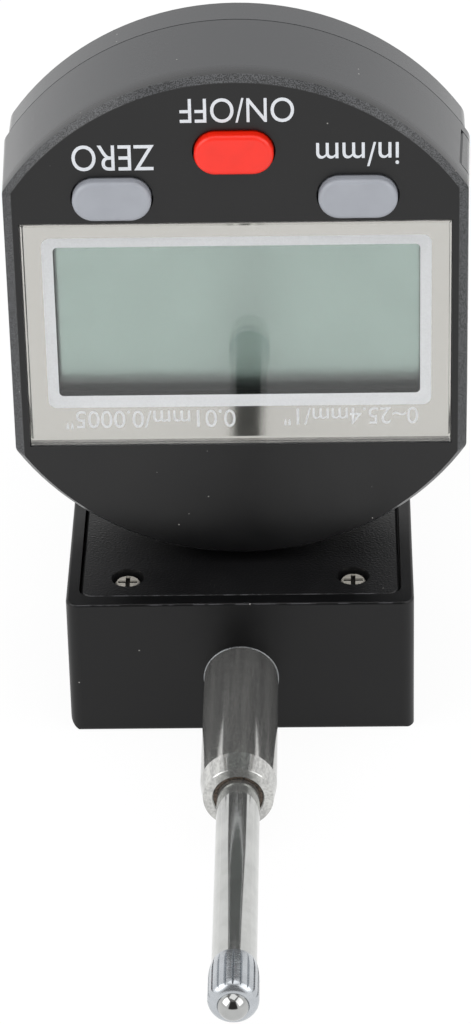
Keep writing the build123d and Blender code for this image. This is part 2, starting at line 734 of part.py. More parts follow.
# Rear cover: wall, screw bosses, tray ribs, and the hinge block with its pocket.
rib_center = tray_half + tray_gap + rail_rib / 2
ledge_depth = tray_depth + tray_thickness + tray_gap
with BuildPart() as rear_cover:
    with BuildSketch(head_plane(front_shell_depth + rear_cover_depth)):
        flat_sided_circle(seam_radius, rear_half_width, rear_flat_corner)
    extrude(amount=rear_cover_depth - shadow_gap)
    fillet(faces().sort_by(Axis.Y)[-1].edges(), back_edge_fillet)
    with BuildSketch(head_plane(front_shell_depth + shadow_gap)):
        flat_sided_circle(seam_radius - shadow_gap_depth, rear_half_width - shadow_gap_depth,
                          rear_flat_corner - shadow_gap_depth)
    extrude(amount=shadow_gap)
    with BuildSketch(head_plane(front_shell_depth)):
        flat_sided_circle(inner_radius, inner_half_width, inner_corner)
    extrude(amount=front_shell_depth - back_inner_depth, mode=Mode.SUBTRACT)
    with BuildSketch(head_plane(back_inner_depth)):
        with Locations(*head_screws_at):
            Circle(head_bore_radius + side_wall / 2)
    extrude(amount=back_inner_depth - front_shell_depth)
    with BuildSketch(head_plane(back_inner_depth)):
        Circle(inner_radius + side_wall / 2)
        with Locations((0, pocket_top + hinge_block_wall - head_z - inner_radius)):
            Rectangle(2 * (pocket_half + hinge_block_wall), 2 * inner_radius, mode=Mode.INTERSECT)
    extrude(amount=back_inner_depth - front_shell_depth)
    with BuildSketch(head_plane(back_inner_depth)):
        with Locations(((tray_end + inner_half_width) / 2, rib_center),
                       ((tray_end + inner_half_width) / 2, -rib_center)):
            Rectangle(inner_half_width - tray_end - 2 * tray_gap, rail_rib)
    extrude(amount=back_inner_depth - tray_depth)
    with BuildSketch(head_plane(back_inner_depth)):
        for side in (-1, 1):
            with Locations(((tray_end + inner_half_width) / 2, side * (rib_center - rail_ledge / 2))):
                Rectangle(inner_half_width - tray_end - 2 * tray_gap, rail_ledge)
    extrude(amount=back_inner_depth - ledge_depth)
    with BuildSketch(across(head_back_y)):
        with Locations((head_offset, pocket_top - inner_radius)):
            Rectangle(2 * pocket_half, 2 * inner_radius)
    extrude(amount=rear_cover_depth, mode=Mode.SUBTRACT)
    with Locations(back_plane(front_shell_depth + rear_cover_depth)):
        with Locations(*head_screws_at):
            CounterBoreHole(screw_shank_radius + moulded_gap, head_bore_radius, head_screw_sink)
finish(rear_cover.part, "rear_cover")

with BuildPart() as head_screws:
    cross_screws(back_plane(front_shell_depth + rear_cover_depth - head_screw_sink), head_screws_at,
                 screw_shank_radius, head_screw_length, screw_head_radius, screw_head_height,
                 recess_slot_length, recess_slot_width)
finish(head_screws.part, "head_screws")

# Display lens, seated in the face, over the liquid-crystal panel and its contact strips.
with BuildPart() as display_lens:
    with BuildSketch(head_plane(-lens_proud)):
        with Locations((0, lens_center)):
            Rectangle(lens_width, lens_height)
    extrude(amount=-lens_thickness)
    chamfer(faces().sort_by(Axis.Y)[0].edges(), lens_bevel)
finish(display_lens.part, "display_lens")

with BuildPart() as lcd_panel:
    with BuildSketch(head_plane(front_wall)):
        with Locations((0, window_center)):
            Rectangle(lcd_width, lcd_height)
    extrude(amount=-lcd_thickness)
finish(lcd_panel.part, "lcd_panel")

with BuildPart() as contact_strips:
    with BuildSketch(head_plane(front_wall + lcd_thickness)):
        for side in (-1, 1):
            with Locations((0, window_center + side * (lcd_height - zebra_width) / 2)):
                Rectangle(lcd_width - 2 * zebra_width, zebra_width)
    extrude(amount=front_wall + lcd_thickness - board_depth)
finish(contact_strips.part, "contact_strips")

with BuildPart() as main_board:
    with BuildSketch(head_plane(board_depth)):
        Rectangle(main_board_width, main_board_height)
        Rectangle(lcd_width, lcd_height)
        Circle(main_board_radius, mode=Mode.INTERSECT)
        with Locations(*posts_at):
            Circle(board_screw_shank + seat_clearance, mode=Mode.SUBTRACT)
    extrude(amount=-board_thickness)
finish(main_board.part, "main_board")

with BuildPart() as board_screws:
    cross_screws(back_plane(board_back), posts_at, board_screw_shank,
                 board_back - front_wall, board_screw_head, board_screw_height,
                 small_slot_length, small_slot_width)
finish(board_screws.part, "board_screws")

with BuildPart() as key_domes:
    with BuildSketch(head_plane(board_depth - dome_thickness)):
        with Locations(*keys_at.values()):
            Circle(dome_radius)
    extrude(amount=-dome_thickness)
    chamfer(edges().group_by(Axis.Y)[0], dome_bevel)
finish(key_domes.part, "key_domes")

with BuildPart() as battery_leaf:
    with BuildSketch(head_plane(board_back)):
        with Locations((cell_x, 0)):
            RectangleRounded(leaf_length, leaf_width, leaf_corner)
    extrude(amount=-leaf_height)
finish(battery_leaf.part, "battery_leaf")

# Keys: a rounded cap through the face, a flange that keeps it in, and a stem over its dome.
for key_name, key_place in keys_at.items():
    with BuildPart() as key:
        with BuildSketch(head_plane(front_wall)):
            with Locations(key_place):
                SlotOverall(key_width, key_height)
        extrude(amount=front_wall + key_proud)
        fillet(faces().sort_by(Axis.Y)[0].edges(), key_edge_radius)
        with BuildSketch(head_plane(front_wall)):
            with Locations(key_place):
                SlotOverall(key_width + 2 * key_flange, key_height + 2 * key_flange)
        extrude(amount=-key_flange_thickness)
        with BuildSketch(head_plane(front_wall)):
            with Locations(key_place):
                Circle(key_stem_radius)
        extrude(amount=front_wall - key_stem_end)
    finish(key.part, key_name)

# ---- battery tray ------------------------------------------------------------------------
with BuildPart() as battery_tray:
    with BuildSketch(head_plane(front_shell_depth)):
        flat_sided_circle(seam_radius, seam_half_width, flat_corner)
    extrude(amount=wall_depth, taper=draft)
    with BuildSketch(Plane.YZ.offset(head_offset + door_back)):
        with Locations((face_setback + door_depth + door_width / 2, head_z)):
            Rectangle(door_width, 2 * door_half_height)
    extrude(amount=door_thickness, taper=door_draft, mode=Mode.INTERSECT)
    with BuildSketch(Plane.YZ.offset(head_offset + seam_half_width)):
        with Locations((face_setback + door_depth + door_width / 2, head_z)):
            SlotOverall(nail_groove_length, nail_groove_width, rotation=90)
    extrude(amount=-nail_groove_depth, mode=Mode.SUBTRACT)
    with BuildSketch(head_plane(tray_depth)):
        with Locations((cell_x, 0)):
            Rectangle(door_back - tray_end, 2 * tray_half)
    extrude(amount=-tray_thickness)
    with BuildSketch(head_plane(tray_depth)):
        with Locations((cell_x, 0)):
            Circle(cell_radius + cell_clearance)
    extrude(amount=tray_floor - tray_thickness, mode=Mode.SUBTRACT)
finish(battery_tray.part, "battery_tray")

with BuildPart() as battery_cell:
    with BuildSketch(head_plane(tray_depth + tray_thickness - tray_floor)):
        with Locations((cell_x, 0)):
            Circle(cell_radius)
    extrude(amount=cell_thickness - cell_cap_height)
    with BuildSketch(head_plane(tray_depth + tray_front_lip + cell_cap_height)):
        with Locations((cell_x, 0)):
            Circle(cell_cap_radius)
    extrude(amount=cell_cap_height)
    chamfer(edges().group_by(Axis.Y)[0], cell_cap_bevel)
finish(battery_cell.part, "battery_cell")

# ==== hinge ===============================================================================

# Base let into the cover plate, with one lug standing on it.
with BuildPart() as hinge_lug:
    with BuildSketch(Plane.XY.offset(hinge_base_z)):
        with Locations((head_offset, (base_front + base_back) / 2)):
            RectangleRounded(hinge_base_width, base_back - base_front, hinge_base_corner)
    extrude(amount=hinge_base_thickness)
    with BuildSketch(Plane.YZ.offset(head_offset - lug_half)):
        with Locations((hinge_y, hinge_z)):
            Circle(lug_radius)
        with Locations((hinge_y, (hinge_z + cover_top) / 2)):
            Rectangle(2 * lug_radius, hinge_z - cover_top)
    extrude(amount=lug_width)
    with Locations(Plane.YZ.offset(head_offset + lug_half)):
        with Locations((hinge_y, hinge_z)):
            Hole(hinge_pin_radius + seat_clearance, depth=lug_width)
    with Locations(Plane.XY.offset(cover_top)):
        with Locations(*hinge_screws_at):
            CounterSinkHole(hinge_screw_radius + seat_clearance, hinge_screw_head + seat_clearance)
finish(hinge_lug.part, "hinge_lug")

with BuildPart() as hinge_screws:
    with BuildSketch(Plane.XY.offset(cover_top)):
        with Locations(*hinge_screws_at):
            Circle(hinge_screw_radius)
    extrude(amount=-cover_thickness)
    with Locations(*[(x, y, cover_top - (hinge_screw_head - hinge_screw_radius) / 2)
                     for x, y in hinge_screws_at]):
        Cone(hinge_screw_radius, hinge_screw_head, hinge_screw_head - hinge_screw_radius)
    with BuildSketch(Plane.XY.offset(cover_top)):
        with Locations(*hinge_screws_at):
            Rectangle(small_slot_length, small_slot_width)
            Rectangle(small_slot_width, small_slot_length)
    extrude(amount=-recess_depth, mode=Mode.SUBTRACT)
finish(hinge_screws.part, "hinge_screws")

with BuildPart() as hinge_pin:
    with BuildSketch(Plane.YZ.offset(head_offset - yoke_half)):
        with Locations((hinge_y, hinge_z)):
            Circle(hinge_pin_radius)
    extrude(amount=2 * yoke_half)
finish(hinge_pin.part, "hinge_pin")

with BuildPart() as hinge_washers:
    for washer_start in (head_offset - lug_half - washer_gap - washer_thickness,
                         head_offset + lug_half + washer_gap):
        with BuildSketch(Plane.YZ.offset(washer_start)):
            with Locations((hinge_y, hinge_z)):
                Circle(washer_radius)
                Circle(hinge_pin_radius + seat_clearance, mode=Mode.SUBTRACT)
        extrude(amount=washer_thickness)
finish(hinge_washers.part, "hinge_washers")

# Yoke in the head: two ears round the pin, joined by a bridge that is screwed to the shell.
with BuildPart() as hinge_yoke:
    for ear_start in (head_offset - yoke_half, head_offset + ear_inner):
        with BuildSketch(Plane.YZ.offset(ear_start)):
            with Locations((hinge_y, hinge_z)):
                Circle(ear_radius)
            with Locations((hinge_y, (hinge_z + bridge_top) / 2)):
                Rectangle(2 * ear_radius, bridge_top - hinge_z)
            with Locations((hinge_y, hinge_z)):
                Circle(hinge_pin_radius + running_clearance, mode=Mode.SUBTRACT)
        extrude(amount=ear_width)
    with BuildSketch(Plane.YZ.offset(head_offset - ear_inner)):
        with Locations((hinge_y, bridge_bottom + bridge_height / 2)):
            Rectangle(2 * ear_radius, bridge_height)
    extrude(amount=2 * ear_inner)
    with Locations(back_plane(yoke_back)):
        with Locations(*yoke_screws_at):
            CounterBoreHole(board_screw_shank + seat_clearance, yoke_screw_head + running_clearance,
                            yoke_screw_sink)
finish(hinge_yoke.part, "hinge_yoke")

with BuildPart() as yoke_screws:
    cross_screws(back_plane(yoke_back - yoke_screw_sink), yoke_screws_at, board_screw_shank,
                 yoke_back - yoke_screw_sink - front_shell_depth + hinge_block_wall,
                 yoke_screw_head, yoke_screw_height, small_slot_length, small_slot_width)
finish(yoke_screws.part, "yoke_screws")
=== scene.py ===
from math import cos, pi, sin

import bmesh
import bpy
from mathutils import Matrix, Vector


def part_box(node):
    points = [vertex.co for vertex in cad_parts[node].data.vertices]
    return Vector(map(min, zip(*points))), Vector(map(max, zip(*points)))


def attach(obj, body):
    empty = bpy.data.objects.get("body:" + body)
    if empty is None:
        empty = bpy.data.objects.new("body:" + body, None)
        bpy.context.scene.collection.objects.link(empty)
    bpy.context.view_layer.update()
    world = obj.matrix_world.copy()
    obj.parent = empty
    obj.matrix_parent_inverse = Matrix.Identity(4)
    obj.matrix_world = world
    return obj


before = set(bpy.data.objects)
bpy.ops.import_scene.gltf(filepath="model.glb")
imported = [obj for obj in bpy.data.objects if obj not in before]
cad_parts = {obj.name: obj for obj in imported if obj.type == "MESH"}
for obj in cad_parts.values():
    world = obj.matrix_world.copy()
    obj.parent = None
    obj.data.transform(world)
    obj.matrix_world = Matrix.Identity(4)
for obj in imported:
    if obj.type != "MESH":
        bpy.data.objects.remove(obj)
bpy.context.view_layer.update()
MM = 0.001

# ---- the head's and the body's places, from the solids ------------------------------------
shell_low, shell_high = (Vector(c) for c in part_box("front_shell"))
lens_low, lens_high = (Vector(c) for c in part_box("display_lens"))
housing_low, housing_high = (Vector(c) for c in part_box("housing"))
plate_low, plate_high = (Vector(c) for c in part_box("cover_plate"))
head_x = (lens_low.x + lens_high.x) / 2
face_y = shell_low.y
head_z = (shell_low.z + shell_high.z) / 2
back_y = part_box("rear_cover")[1][1]


# ---- materials: helpers -------------------------------------------------------------------
def colour(hex_value):
    """Linear colour of an sRGB hex value."""
    channels = [int(hex_value[i:i + 2], 16) / 255 for i in (1, 3, 5)]
    return tuple(c / 12.92 if c <= 0.04045 else ((c + 0.055) / 1.055) ** 2.4 for c in channels) + (1.0,)


def shaded(hex_value, share):
    """Linear colour of an sRGB hex value, darkened or lightened by a share."""
    return tuple(c * share for c in colour(hex_value)[:3]) + (1.0,)


def add(tree, kind, sockets=None, **settings):
    """Adds a node with its settings; each socket gets a value or a link from an output."""
    node = tree.nodes.new(kind)
    for name, value in settings.items():
        setattr(node, name, value)
    for name, value in (sockets or {}).items():
        if isinstance(value, bpy.types.NodeSocket):
            tree.links.new(value, node.inputs[name])
        else:
            node.inputs[name].default_value = value
    return node


def surface(name, **principled):
    """New material with one Principled shader; names with _ for spaces set its sockets."""
    material = bpy.data.materials.new(name)
    material.use_nodes = True
    tree = material.node_tree
    tree.nodes.clear()
    shader = add(tree, "ShaderNodeBsdfPrincipled",
                 {key.replace("_", " "): value for key, value in principled.items()})
    add(tree, "ShaderNodeOutputMaterial", {"Surface": shader.outputs["BSDF"]})
    return material, tree, shader


def place_along(tree, axis):
    """Place along an axis, in metres in the part's own frame."""
    spot = add(tree, "ShaderNodeTexCoord").outputs["Object"]
    return add(tree, "ShaderNodeSeparateXYZ", {"Vector": spot}).outputs[axis]


noise_span = (0.35, 0.65)        # where most of a noise pattern lies
whole_span = (0.0, 1.0)


def between(tree, value, first, second, span=noise_span, course="LINEAR"):
    """From first to second as a value crosses a span. Both are numbers or both are colours, and
    either may come from another node."""
    if any(isinstance(end, tuple) or getattr(end, "type", None) == "RGBA" for end in (first, second)):
        share = between(tree, value, 0.0, 1.0, span, course)
        # The Mix node's colours share their names with its numbers, so its sockets are counted.
        return add(tree, "ShaderNodeMix", {0: share, 6: first, 7: second}, data_type="RGBA").outputs[2]
    return add(tree, "ShaderNodeMapRange", {"Value": value, "From Min": span[0], "From Max": span[1],
                                            "To Min": first, "To Max": second},
               interpolation_type=course).outputs["Result"]


def grain(tree, size_mm, detail=2.0, stretch=(1, 1, 1)):
    """Noise whose cells are size_mm across, and ten times as long along an axis whose stretch is
    0.1."""
    spot = add(tree, "ShaderNodeTexCoord").outputs["Object"]
    scaled = add(tree, "ShaderNodeMapping", {"Vector": spot, "Scale": Vector(stretch) / (size_mm * MM)})
    return add(tree, "ShaderNodeTexNoise", {"Vector": scaled.outputs["Vector"], "Scale": 1.0,
                                            "Detail": detail}).outputs["Fac"]


def bumped(tree, shader, height, depth_mm):
    """Puts a height pattern of a real depth on the shader's normal."""
    bump = add(tree, "ShaderNodeBump", {"Height": height, "Distance": depth_mm * MM, "Strength": 1.0})
    tree.links.new(bump.outputs["Normal"], shader.inputs["Normal"])


def specks(tree, spacing_mm, share):
    """Sparse dust, 1 on a speck, else 0: a share of the cells hold a speck, which is a seventh
    of their spacing across."""
    speck_radius = 0.07              # in spacings
    spot = add(tree, "ShaderNodeTexCoord").outputs["Object"]
    scaled = add(tree, "ShaderNodeMapping", {"Vector": spot, "Scale": [1 / (spacing_mm * MM)] * 3})
    cells = add(tree, "ShaderNodeTexVoronoi", {"Vector": scaled.outputs["Vector"], "Scale": 1.0})
    near = add(tree, "ShaderNodeMath", {0: cells.outputs["Distance"], 1: speck_radius},
               operation="LESS_THAN").outputs[0]
    pick = add(tree, "ShaderNodeSeparateColor", {"Color": cells.outputs["Color"]}).outputs["Red"]
    few = add(tree, "ShaderNodeMath", {0: pick, 1: share}, operation="LESS_THAN").outputs[0]
    return add(tree, "ShaderNodeMath", {0: near, 1: few}, operation="MULTIPLY").outputs[0]


def edge_wear_and_highlight(tree, edge_z, edge_y, width):
    """1 in scattered spots along the long edge where an end face meets the top, else 0: wear,
    and a painted highlight where the edge catches light.
    """
    core = 0.7 * width               # fully worn; the wear fades over the rest of the width
    spot_mm, spot_span = 1.1, (0.45, 0.6)
    near_top = between(tree, place_along(tree, "Z"), 0.0, 1.0, span=(edge_z - width, edge_z - core))
    near_end = between(tree, place_along(tree, "Y"), 1.0, 0.0, span=(edge_y + core, edge_y + width))
    spots = between(tree, grain(tree, spot_mm, detail=4.0), 0.0, 1.0, span=spot_span)
    edge = add(tree, "ShaderNodeMath", {0: near_top, 1: near_end}, operation="MULTIPLY").outputs[0]
    return add(tree, "ShaderNodeMath", {0: edge, 1: spots}, operation="MULTIPLY").outputs[0]


# ---- materials: the casings and keys ------------------------------------------------------
# Where the head's finish and its painted shade change, going back from its smooth face.
bevel_edge = (face_y + 0.02 * MM, face_y + 0.08 * MM)    # the face ends and the blasted bevel starts
wall_line = (face_y + 0.92 * MM, face_y + 0.96 * MM)     # painted shade: dark line where the bevel meets the wall
wall_fade = (face_y + 0.95 * MM, face_y + 3.0 * MM)      # painted shade fades into the wall's colour, its painted sheen
back_edge = (back_y - 0.6 * MM, back_y - 0.1 * MM)       # painted shade where the wall turns in to the back
pit, peak, line, back = 0.2, 1.6, 0.3, 0.45              # shares of the wall's colour; line and back are painted shade
pit_mm = 0.13                # the bevel's blasted pits
wall_roughness = 0.2


def black_casing(name, shade, roughness, ior, texture_mm, depth_mm, dust, wall=None, edge=None):
    """Black casing with an even fine grain, drawn a little coarser than the real one so that it
    shows; handling leaves it glossier in places. dust is the share of the cells with a speck,
    wall the colour of the side wall of a piece whose face is smoother, a painted sheen with
    painted shade near its edges, and edge the height, the place along Y and the width of an
    edge lightened in spots for wear and a painted highlight."""
    handled_mm, gloss_change, paler = 9.0, 0.05, 1.25
    dust_spacing_mm, dust_colour = 1.1, colour("#8d8b88")
    edge_wear_and_highlight_colour = colour("#434346")
    material, tree, shader = surface(name, IOR=ior)
    handling = grain(tree, handled_mm, detail=3.0)
    tint = between(tree, handling, colour(shade), shaded(shade, paler))
    rough = between(tree, handling, roughness - gloss_change, roughness + gloss_change)
    if wall:
        depth = place_along(tree, "Y")
        blasted = between(tree, grain(tree, pit_mm, detail=1.0), shaded(wall, pit), shaded(wall, peak),
                          span=(0.45, 0.55))
        tint = between(tree, depth, tint, blasted, span=bevel_edge)
        # painted shade along the line where the bevel meets the wall
        tint = between(tree, depth, tint, shaded(wall, line), span=wall_line)
        # the wall's grey: painted sheen
        tint = between(tree, depth, tint, colour(wall), span=wall_fade)
        # painted shade where the wall turns in to the back
        tint = between(tree, depth, tint, shaded(wall, back), span=back_edge)
        rough = between(tree, depth, rough, wall_roughness, span=wall_fade)
    if edge:
        # wear and painted highlight: the edge lightened in spots
        tint = between(tree, edge_wear_and_highlight(tree, *edge), tint, edge_wear_and_highlight_colour, span=whole_span)
    tint = between(tree, specks(tree, dust_spacing_mm, dust), tint, dust_colour, span=whole_span)
    tree.links.new(tint, shader.inputs["Base Color"])
    tree.links.new(rough, shader.inputs["Roughness"])
    bumped(tree, shader, grain(tree, texture_mm), depth_mm)
    return material


# Moulded ABS of the display head: satin and near black on the face. Its spark-eroded wall is
# painted dark grey as a painted sheen for the room it mirrors at a glancing angle, with painted shade near
# the bevel and the back.
head_abs = black_casing("moulded_black_abs", "#070708", roughness=0.34, ior=1.465, texture_mm=0.22,
                        depth_mm=0.006, dust=0.06, wall="#38393b")
# Textured ABS cover plate: a coarser spark finish that scatters light.
plate_abs = black_casing("spark_textured_black_abs", "#101011", roughness=0.36, ior=1.42, texture_mm=0.26,
                         depth_mm=0.045, dust=0.05, edge=(plate_high.z, plate_low.y, 0.26 * MM))
# Powder-coated zinc die casting: smooth, thick-skinned and very dark.
powder_zinc = black_casing("powder_coated_zinc", "#060607", roughness=0.36, ior=1.38, texture_mm=0.6,
                           depth_mm=0.006, dust=0.08, edge=(housing_high.z, housing_low.y, 0.14 * MM))


def key_plastic(name, shade):
    """Moulded ABS of a key: satin and even, with faint darker clouds."""
    material, tree, shader = surface(name, Roughness=0.34, IOR=1.5)
    tone = between(tree, grain(tree, 2.5), shaded(shade, 0.94), colour(shade))
    tree.links.new(tone, shader.inputs["Base Color"])
    bumped(tree, shader, grain(tree, 0.25), 0.004)
    return material


red_key = key_plastic("red_moulded_abs", "#e8220b")
grey_key = key_plastic("grey_moulded_abs", "#95989f")


# ---- materials: the display ---------------------------------------------------------------
def clear_sheet(name, tint, ior, sawn=None):
    """Clear and flat polished, so it mirrors sharply; lamps reach what is behind it. sawn is the
    low and high corner of a sheet whose edges are sawn, so frosted."""
    polished, frosted = 0.015, 0.6
    material, tree, shader = surface(name, Base_Color=colour(tint), Roughness=polished, IOR=ior,
                                     Transmission_Weight=1.0)
    if sawn:
        low, high = sawn
        skin, fade = 0.01 * MM, 0.02 * MM    # frosted to the one depth, polished from the other
        rough = polished
        for axis, start, end in (("X", low.x, high.x), ("Z", low.z, high.z)):
            spot = place_along(tree, axis)
            rough = between(tree, spot, frosted, rough, span=(start + skin, start + fade))
            rough = between(tree, spot, rough, frosted, span=(end - fade, end - skin))
        tree.links.new(rough, shader.inputs["Roughness"])
    out = next(n for n in tree.nodes if n.type == "OUTPUT_MATERIAL")
    passes = add(tree, "ShaderNodeBsdfTransparent", {"Color": (0.99, 0.99, 0.99, 1)}).outputs["BSDF"]
    lamp_ray = add(tree, "ShaderNodeLightPath").outputs["Is Shadow Ray"]
    mix = add(tree, "ShaderNodeMixShader", {0: lamp_ray, 1: shader.outputs["BSDF"], 2: passes})
    tree.links.new(mix.outputs["Shader"], out.inputs["Surface"])
    return material


# Cast acrylic lens: water clear, its edges sawn.
clear_acrylic = clear_sheet("clear_cast_acrylic", "#ffffff", 1.49, sawn=(lens_low, lens_high))
# Liquid crystal cell: two panes of glass with a faint green cast.
crystal_glass = clear_sheet("liquid_crystal_glass", "#f4faf7", 1.5)


def silver_print():
    """Silver ink screened on the back of the window: a fine metallic flake that mirrors softly."""
    material, tree, shader = surface("screened_silver_ink", Metallic=1.0, Roughness=0.05)
    flake = between(tree, grain(tree, 0.12, detail=1.0), colour("#bab8b3"), colour("#c0bfba"))
    tree.links.new(flake, shader.inputs["Base Color"])
    return material


def white_ink(name, shade):
    """Screened white ink: opaque and matt, with a faint mesh pattern."""
    material, tree, shader = surface(name, Roughness=0.5, IOR=1.5)
    tone = between(tree, grain(tree, 0.2), shaded(shade, 0.95), colour(shade))
    tree.links.new(tone, shader.inputs["Base Color"])
    return material


def silvered_diffuser():
    """Silvered diffuser film behind the liquid crystal: grey-green, and brushed from side to
    side, so it smears what it mirrors up and down."""
    material, tree, shader = surface("silvered_diffuser_film", Metallic=1.0, Roughness=0.2, Anisotropic=0.88)
    tone = between(tree, grain(tree, 6.0), colour("#9dada7"), colour("#a1b1ab"))
    tree.links.new(tone, shader.inputs["Base Color"])
    brushed = add(tree, "ShaderNodeTangent", direction_type="UV_MAP", uv_map="brushing")
    tree.links.new(brushed.outputs["Tangent"], shader.inputs["Tangent"])
    return material


# ---- materials: the metals ----------------------------------------------------------------
def steel(name, shade, roughness, lines_mm, along, depth_mm=0.0008, spread=0.05, dulled=0.0, dark_below=None):
    """Machined metal: fine tool lines that follow one another along an axis, drawn coarser than
    the real ones so that they show, on a tone that varies. dulled is the share of it under a
    skin of oil and fine scratches, which scatters light, and dark_below the height below which
    it is dark and rough, which darkens the bottom of a recess."""
    material, tree, shader = surface(name, Metallic=1.0 - dulled)
    stretch = [1.0 if axis == along else 0.03 for axis in "XYZ"]
    cloud_mm, cloud_shade = 2.2, 0.88
    lines = grain(tree, lines_mm, detail=3.0, stretch=stretch)
    tone = between(tree, grain(tree, cloud_mm, detail=3.0), shaded(shade, cloud_shade), colour(shade))
    rough = between(tree, lines, roughness - spread, roughness + spread)
    if dark_below:
        height = place_along(tree, "Z")
        dark_below_span = (dark_below, dark_below + 0.03 * MM)
        dark_below_colour, dark_below_roughness = colour("#262422"), 0.6
        # dark and rough below the height
        tone = between(tree, height, dark_below_colour, tone, span=dark_below_span)
        rough = between(tree, height, dark_below_roughness, roughness, span=dark_below_span)
    tree.links.new(tone, shader.inputs["Base Color"])
    tree.links.new(rough, shader.inputs["Roughness"])
    bumped(tree, shader, lines, depth_mm)
    return material


def ground_stem_steel():
    """Centreless-ground stainless stem that has slid in clamps: lengthwise rub marks, duller and
    brighter, on very fine rings, with mottled spots of oil."""
    material, tree, shader = surface("ground_stainless_steel", Metallic=0.87)
    rubs = grain(tree, 0.7, detail=3.0, stretch=(1, 0.04, 1))
    spots = grain(tree, 0.25, detail=4.0, stretch=(1, 0.5, 1))
    marks = add(tree, "ShaderNodeMath", {0: rubs, 1: spots}, operation="ADD").outputs[0]
    tone = between(tree, marks, colour("#afafad"), colour("#d0d0cd"), span=(0.8, 1.2))
    rough = between(tree, marks, 0.11, 0.18, span=(0.76, 1.24))
    tree.links.new(tone, shader.inputs["Base Color"])
    tree.links.new(rough, shader.inputs["Roughness"])
    bumped(tree, shader, grain(tree, 0.1, stretch=(0.03, 1, 0.03)), 0.0002)
    return material


ground_steel = ground_stem_steel()
# Lapped spindle: nearly a mirror.
lapped_steel = steel("lapped_stainless_steel", "#c4c5c3", 0.1, 0.1, along="Y", depth_mm=0.0003, spread=0.03,
                     dulled=0.1)
# Turned and fluted contact point: bright, with fine rings.
turned_steel = steel("turned_steel", "#bcc0c4", 0.24, 0.15, along="Y", spread=0.06, dulled=0.14)
# Polished bearing ball: a mirror.
ball_steel = steel("polished_ball_steel", "#b4b5b4", 0.1, 0.3, along="Z", depth_mm=0.0001, spread=0.02)
# Nickel-plated screws inside: warm and softly bright.
nickel_steel = steel("nickel_plated_steel", "#c9c4ba", 0.34, 0.15, along="X", dulled=0.25)
# Nickel-plated screws of the cover plate, dark and rough below a height, which darkens their cross recesses.
screw_low, screw_high = (Vector(c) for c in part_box("cover_screws"))
cover_screw_steel = steel("worn_nickel_plated_steel", "#efeadf", 0.26, 0.15, along="X", dulled=0.35,
                          dark_below=screw_high.z - 0.2 * MM)
# Pressed and zinc-plated steel: pale, faintly blue.
pressed_steel = steel("pressed_zinc_plated_steel", "#b9bcc0", 0.3, 0.2, along="X")
# Drawn spring steel: grey, with fine lengthwise lines.
spring_wire = steel("drawn_spring_steel", "#a9abae", 0.25, 0.1, along="Y")
# Black-oxide steel: nearly black, with a soft metal shine.
black_steel = steel("black_oxide_steel", "#2a2a2c", 0.35, 0.15, along="Z")
# Milled aluminium: pale, with the cutter's coarser lines.
milled_aluminium = steel("milled_aluminium", "#c8cacd", 0.3, 0.3, along="Y", depth_mm=0.002)


# ---- materials: the rest ------------------------------------------------------------------
def plain(name, shade, roughness, grain_mm, depth_mm, darker=0.85, metallic=0.0):
    """A material of an even colour with its own grain, whose low places are darker."""
    material, tree, shader = surface(name, Roughness=roughness, Metallic=metallic)
    pattern = grain(tree, grain_mm, detail=3.0)
    tone = between(tree, pattern, shaded(shade, darker), colour(shade))
    tree.links.new(tone, shader.inputs["Base Color"])
    bumped(tree, shader, pattern, depth_mm)
    return material


# Sintered bronze, soaked in oil: brown, with dark pores.
sintered_bronze = plain("oiled_sintered_bronze", "#7d6e62", 0.5, 0.14, 0.004, darker=0.1, metallic=0.5)
# Moulded acetal: ivory and waxy.
acetal = plain("moulded_acetal", "#dcdad2", 0.4, 0.8, 0.003)
# Moulded nitrile rubber: black and matt.
nitrile = plain("moulded_nitrile_rubber", "#1b1b1b", 0.7, 0.3, 0.02)
# Glass-fibre laminate under solder mask: green and satin, the weave just showing.
laminate = plain("solder_masked_laminate", "#11502c", 0.35, 0.7, 0.01, darker=0.7)
# Moulded epoxy of a chip: near black and matt.
epoxy = plain("moulded_epoxy", "#151517", 0.55, 0.15, 0.008)
# Extruded silicone strips: dark grey and matt.
silicone = plain("extruded_silicone", "#3a3a3c", 0.6, 0.3, 0.01)
# Etched glass scale: grey and glossy.
coated_glass = plain("etched_scale_glass", "#9aa3a6", 0.1, 0.5, 0.0005)

finishes = {
    "housing": powder_zinc, "cover_plate": plate_abs, "cover_screws": cover_screw_steel, "stem": ground_steel,
    "stem_nut": pressed_steel, "lower_bush": sintered_bronze, "upper_bush": sintered_bronze,
    "bumper": nitrile, "guide_rail": acetal, "reader_board": laminate, "reader_chip": epoxy,
    "reader_screws": nickel_steel, "rear_cap": black_steel, "spring_post": pressed_steel,
    "hinge_lug": black_steel, "hinge_screws": black_steel, "hinge_pin": lapped_steel,
    "hinge_washers": acetal, "return_spring": spring_wire, "spindle": lapped_steel,
    "contact_point": turned_steel, "contact_ball": ball_steel, "carriage": milled_aluminium,
    "guide_pin": lapped_steel, "scale_strip": coated_glass, "front_shell": head_abs,
    "rear_cover": head_abs, "head_screws": black_steel, "display_lens": clear_acrylic,
    "lcd_panel": crystal_glass, "contact_strips": silicone, "main_board": laminate,
    "board_screws": nickel_steel, "key_domes": spring_wire, "battery_leaf": spring_wire,
    "hinge_yoke": black_steel, "yoke_screws": black_steel, "zero_button": grey_key,
    "power_button": red_key, "unit_button": grey_key, "battery_tray": head_abs,
    "battery_cell": pressed_steel,
}
for node_name, finish in finishes.items():
    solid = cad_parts[node_name]
    solid.data.materials.clear()
    solid.data.materials.append(finish)


